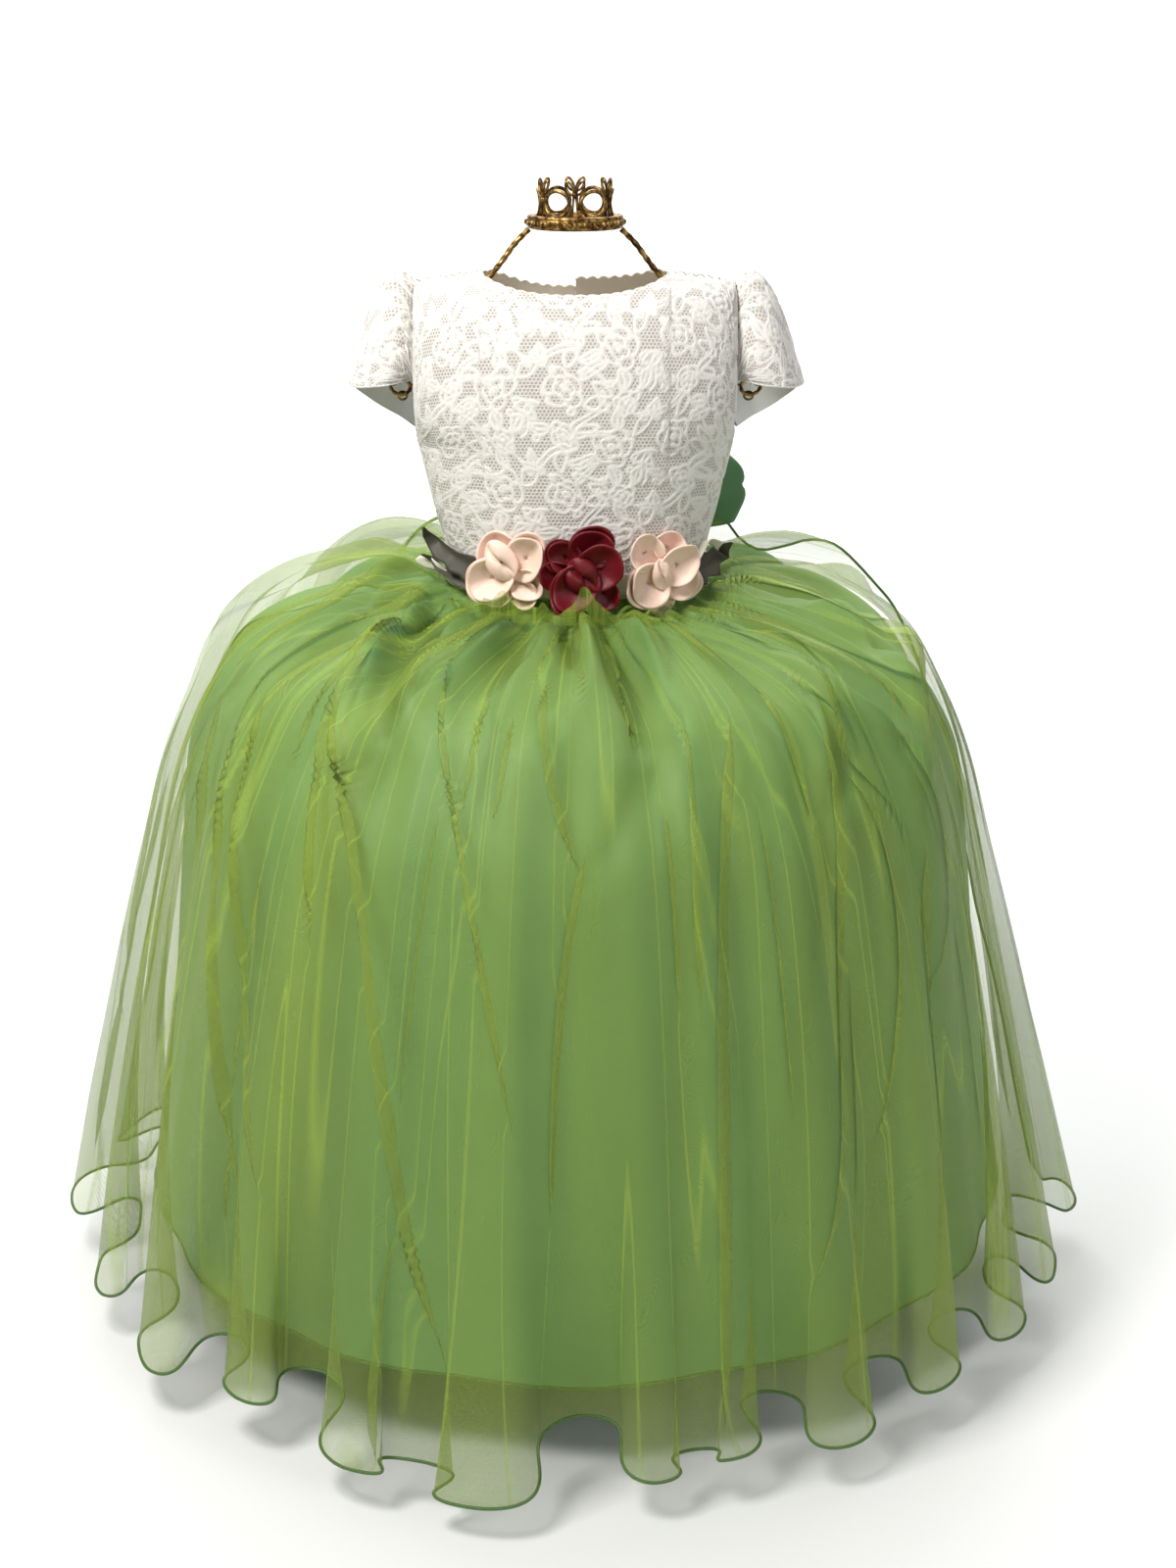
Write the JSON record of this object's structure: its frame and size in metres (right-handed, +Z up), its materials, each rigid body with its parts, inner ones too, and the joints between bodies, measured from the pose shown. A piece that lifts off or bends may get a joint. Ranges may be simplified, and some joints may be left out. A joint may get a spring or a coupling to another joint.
{
  "type": "long party dress on a dress form",
  "caption": "Child's long party dress: lace bodice with cap sleeves, satin flowers on the belt, satin skirt under a waved tulle overskirt, bow at the back, on a wire dress form.",
  "frame": {"origin": "on the floor under the centre of the form's round foot", "axes": "+Z up, -Y out of the dress's front, +X to the right of someone who looks at the front"},
  "size_m": [0.888, 0.8158, 0.9152],
  "materials": {
    "ivory_lace": "matt corded lace over a smooth ivory lining",
    "green_satin": "soft sheen, spring green satin",
    "green_tulle": "sheer yellow-green net with a rolled dark hem",
    "cream_ribbon": "soft sheen ribbon",
    "peach_satin": "glossy peach satin",
    "burgundy_satin": "glossy burgundy satin",
    "dark_satin": "dark brown satin",
    "sash_satin": "deep green satin",
    "zip_tape": "matt woven tape",
    "antique_brass": "antique brass with a dark brown patina"
  },
  "bodies": {
    "root": {"bodice_front": "ivory_lace", "bodice_back_left": "ivory_lace", "bodice_back_right": "ivory_lace", "sleeve_left": "ivory_lace", "sleeve_right": "ivory_lace", "underskirt_front": "green_satin", "underskirt_back": "green_satin", "overskirt_front": "green_tulle", "overskirt_back": "green_tulle", "belt": "cream_ribbon", "flower_left": "peach_satin", "flower_centre": "burgundy_satin", "flower_right": "peach_satin", "leaf_left": "dark_satin", "leaf_left_low": "dark_satin", "leaf_right": "dark_satin", "bow_knot": "sash_satin", "bow_loop_left": "sash_satin", "bow_loop_right": "sash_satin", "bow_tail_left": "sash_satin", "bow_tail_right": "sash_satin", "back_zip": "zip_tape", "zip_pull": "antique_brass", "form_stand": "antique_brass", "form_waist_ring": "antique_brass", "form_chest_frame": "antique_brass", "form_rod_left": "antique_brass", "form_rod_right": "antique_brass", "form_neck": "antique_brass"}
  },
  "joints": []
}
